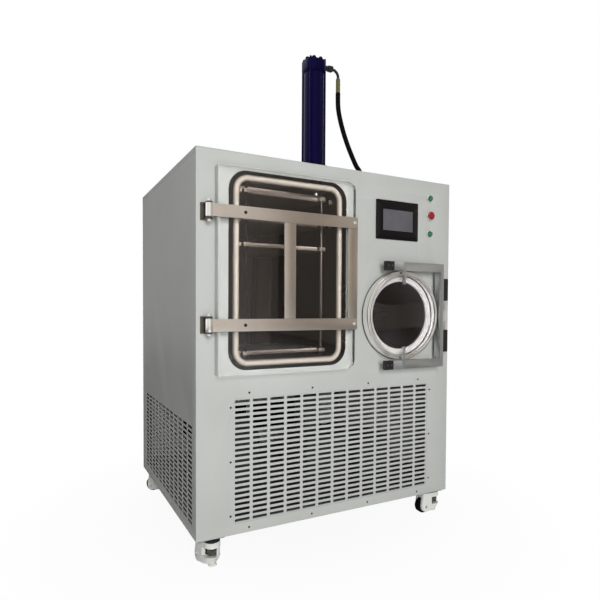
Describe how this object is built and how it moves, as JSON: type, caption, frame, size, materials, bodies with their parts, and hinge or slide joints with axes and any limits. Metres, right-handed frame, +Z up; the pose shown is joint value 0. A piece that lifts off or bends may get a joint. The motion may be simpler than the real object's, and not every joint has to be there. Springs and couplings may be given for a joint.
{
  "type": "pilot freeze dryer",
  "caption": "Floor-standing freeze dryer cabinet on levelling casters with a clear-doored shelf chamber, a round cold trap, a touch screen and a stoppering press on top.",
  "frame": {"origin": "on the floor, under the middle of the machine's outline with both doors shut", "axes": "+X to the right seen from the front, +Y to the back, +Z up"},
  "size_m": [1.05, 0.928, 1.745],
  "materials": {
    "powder_coat": "light grey powder coat, fine satin texture",
    "frame_paint": "dark grey paint on welded steel tube",
    "stainless": "brushed stainless steel bar and plate",
    "chamber_steel": "rolled and welded stainless sheet, dull inside",
    "polished_steel": "polished steel",
    "silicone": "pale translucent silicone seal",
    "clear_acrylic": "clear acrylic sheet with polished edges",
    "black_gloss": "black moulded bezel with a dark glass screen",
    "navy_enamel": "dark blue gloss enamel",
    "black_rubber": "black rubber",
    "black_steel": "black oxide steel",
    "fitting_steel": "zinc plated steel, yellow passivated",
    "white_nylon": "off-white glass filled nylon",
    "copper": "bare copper pipe",
    "cast_iron": "dark painted casting",
    "green_plastic": "green push button",
    "red_plastic": "red mushroom button"
  },
  "bodies": {
    "cabinet": {"base_frame": "frame_paint", "front_panel": "powder_coat", "front_grille": "powder_coat", "left_side_panel": "powder_coat", "right_side_panel": "powder_coat", "back_panel": "powder_coat", "top_panel": "powder_coat", "chamber_body": "chamber_steel", "chamber_gasket": "silicone", "guide_rod_left": "stainless", "guide_rod_right": "stainless", "shelf_3": "stainless", "cylinder_barrel": "navy_enamel", "cylinder_head": "navy_enamel", "hose_elbow": "black_steel", "hose_end": "fitting_steel", "hydraulic_hose": "black_rubber", "hose_gland": "black_steel", "door_hinge_upper": "black_steel", "door_hinge_lower": "black_steel", "trap_vessel": "chamber_steel", "trap_gasket": "silicone", "trap_coil": "copper", "trap_hinge_upper": "black_steel", "trap_hinge_lower": "black_steel", "touch_screen": "black_gloss", "compressor": "cast_iron", "vacuum_pump": "cast_iron", "hydraulic_unit": "cast_iron", "start_button_bezel": "polished_steel", "stop_button_bezel": "polished_steel", "vacuum_button_bezel": "polished_steel"},
    "chamber_door": {"door_pane": "clear_acrylic", "door_frame": "stainless"},
    "trap_door": {"trap_door_disc": "clear_acrylic", "trap_door_ring": "polished_steel", "trap_yoke": "stainless"},
    "press_ram": {"piston_rod": "polished_steel", "pressing_plate": "stainless"},
    "upper_shelf": {"shelf_1": "stainless"},
    "middle_shelf": {"shelf_2": "stainless"},
    "start_plunger": {"start_button": "green_plastic"},
    "stop_plunger": {"stop_button": "red_plastic"},
    "vacuum_plunger": {"vacuum_button": "green_plastic"},
    "caster_front_left": {"caster_body_front_left": "white_nylon"},
    "wheel_front_left": {"caster_wheel_front_left": "black_rubber"},
    "handwheel_front_left": {"foot_handwheel_front_left": "black_steel"},
    "foot_front_left": {"levelling_foot_front_left": "black_rubber"},
    "caster_front_right": {"caster_body_front_right": "white_nylon"},
    "wheel_front_right": {"caster_wheel_front_right": "black_rubber"},
    "handwheel_front_right": {"foot_handwheel_front_right": "black_steel"},
    "foot_front_right": {"levelling_foot_front_right": "black_rubber"},
    "caster_rear_left": {"caster_body_rear_left": "white_nylon"},
    "wheel_rear_left": {"caster_wheel_rear_left": "black_rubber"},
    "handwheel_rear_left": {"foot_handwheel_rear_left": "black_steel"},
    "foot_rear_left": {"levelling_foot_rear_left": "black_rubber"},
    "caster_rear_right": {"caster_body_rear_right": "white_nylon"},
    "wheel_rear_right": {"caster_wheel_rear_right": "black_rubber"},
    "handwheel_rear_right": {"foot_handwheel_rear_right": "black_steel"},
    "foot_rear_right": {"levelling_foot_rear_right": "black_rubber"}
  },
  "joints": [
    {"name": "chamber_door_hinge", "type": "hinge", "parent": "cabinet", "child": "chamber_door", "pos_m": [-0.492, -0.44, 0.97], "axis": [0, 0, -1], "range_deg": [0, 115]},
    {"name": "trap_door_hinge", "type": "hinge", "parent": "cabinet", "child": "trap_door", "pos_m": [0.475, -0.428, 0.82], "axis": [0, 0, 1], "range_deg": [0, 110]},
    {"name": "press_travel", "type": "slide", "parent": "cabinet", "child": "press_ram", "axis": [0, 0, -1], "range_m": [0, 0.31]},
    {"name": "upper_shelf_travel", "type": "slide", "parent": "cabinet", "child": "upper_shelf", "axis": [0, 0, -1], "range_m": [0, 0.294]},
    {"name": "middle_shelf_travel", "type": "slide", "parent": "cabinet", "child": "middle_shelf", "axis": [0, 0, -1], "range_m": [0, 0.284]},
    {"name": "start_button_push", "type": "slide", "parent": "cabinet", "child": "start_plunger", "axis": [0, 1, 0], "range_m": [0, 0.004], "stiffness_N_per_m": 500},
    {"name": "stop_button_push", "type": "slide", "parent": "cabinet", "child": "stop_plunger", "axis": [0, 1, 0], "range_m": [0, 0.004], "stiffness_N_per_m": 500},
    {"name": "vacuum_button_push", "type": "slide", "parent": "cabinet", "child": "vacuum_plunger", "axis": [0, 1, 0], "range_m": [0, 0.004], "stiffness_N_per_m": 500},
    {"name": "swivel_front_left", "type": "hinge", "parent": "cabinet", "child": "caster_front_left", "pos_m": [-0.471, -0.351, 0.085], "axis": [0, 0, 1], "continuous": true},
    {"name": "roll_front_left", "type": "hinge", "parent": "caster_front_left", "child": "wheel_front_left", "pos_m": [-0.47743, -0.32996, 0.0304], "axis": [0.9563, 0.2924, 0], "continuous": true},
    {"name": "handwheel_turn_front_left", "type": "hinge", "parent": "caster_front_left", "child": "handwheel_front_left", "pos_m": [-0.46252, -0.37873, 0.049], "axis": [0, 0, -1], "range_deg": [0, 2160]},
    {"name": "foot_travel_front_left", "type": "slide", "parent": "caster_front_left", "child": "foot_front_left", "axis": [0, 0, -1], "range_m": [0, 0.012]},
    {"name": "swivel_front_right", "type": "hinge", "parent": "cabinet", "child": "caster_front_right", "pos_m": [0.471, -0.351, 0.085], "axis": [0, 0, 1], "continuous": true},
    {"name": "roll_front_right", "type": "hinge", "parent": "caster_front_right", "child": "wheel_front_right", "pos_m": [0.44903, -0.34985, 0.0304], "axis": [0.0523, 0.9986, 0], "continuous": true},
    {"name": "handwheel_turn_front_right", "type": "hinge", "parent": "caster_front_right", "child": "handwheel_front_right", "pos_m": [0.49996, -0.35252, 0.049], "axis": [0, 0, -1], "range_deg": [0, 2160]},
    {"name": "foot_travel_front_right", "type": "slide", "parent": "caster_front_right", "child": "foot_front_right", "axis": [0, 0, -1], "range_m": [0, 0.012]},
    {"name": "swivel_rear_left", "type": "hinge", "parent": "cabinet", "child": "caster_rear_left", "pos_m": [-0.471, 0.409, 0.085], "axis": [0, 0, 1], "continuous": true},
    {"name": "roll_rear_left", "type": "hinge", "parent": "caster_rear_left", "child": "wheel_rear_left", "pos_m": [-0.48785, 0.42314, 0.0304], "axis": [0.6428, 0.766, 0], "continuous": true},
    {"name": "handwheel_turn_rear_left", "type": "hinge", "parent": "caster_rear_left", "child": "handwheel_rear_left", "pos_m": [-0.44878, 0.39036, 0.049], "axis": [0, 0, -1], "range_deg": [0, 2160]},
    {"name": "foot_travel_rear_left", "type": "slide", "parent": "caster_rear_left", "child": "foot_rear_left", "axis": [0, 0, -1], "range_m": [0, 0.012]},
    {"name": "swivel_rear_right", "type": "hinge", "parent": "cabinet", "child": "caster_rear_right", "pos_m": [0.471, 0.409, 0.085], "axis": [0, 0, 1], "continuous": true},
    {"name": "roll_rear_right", "type": "hinge", "parent": "caster_rear_right", "child": "wheel_rear_right", "pos_m": [0.45033, 0.40148, 0.0304], "axis": [-0.342, 0.9397, 0], "continuous": true},
    {"name": "handwheel_turn_rear_right", "type": "hinge", "parent": "caster_rear_right", "child": "handwheel_rear_right", "pos_m": [0.49825, 0.41892, 0.049], "axis": [0, 0, -1], "range_deg": [0, 2160]},
    {"name": "foot_travel_rear_right", "type": "slide", "parent": "caster_rear_right", "child": "foot_rear_right", "axis": [0, 0, -1], "range_m": [0, 0.012]}
  ],
  "couplings": [
    {"joint": "upper_shelf_travel", "follows": "press_travel", "ratio": 0.948},
    {"joint": "middle_shelf_travel", "follows": "press_travel", "ratio": 0.916},
    {"joint": "foot_travel_front_left", "follows": "handwheel_turn_front_left", "m_per_rad": 0.00031831},
    {"joint": "foot_travel_front_right", "follows": "handwheel_turn_front_right", "m_per_rad": 0.00031831},
    {"joint": "foot_travel_rear_left", "follows": "handwheel_turn_rear_left", "m_per_rad": 0.00031831},
    {"joint": "foot_travel_rear_right", "follows": "handwheel_turn_rear_right", "m_per_rad": 0.00031831}
  ]
}
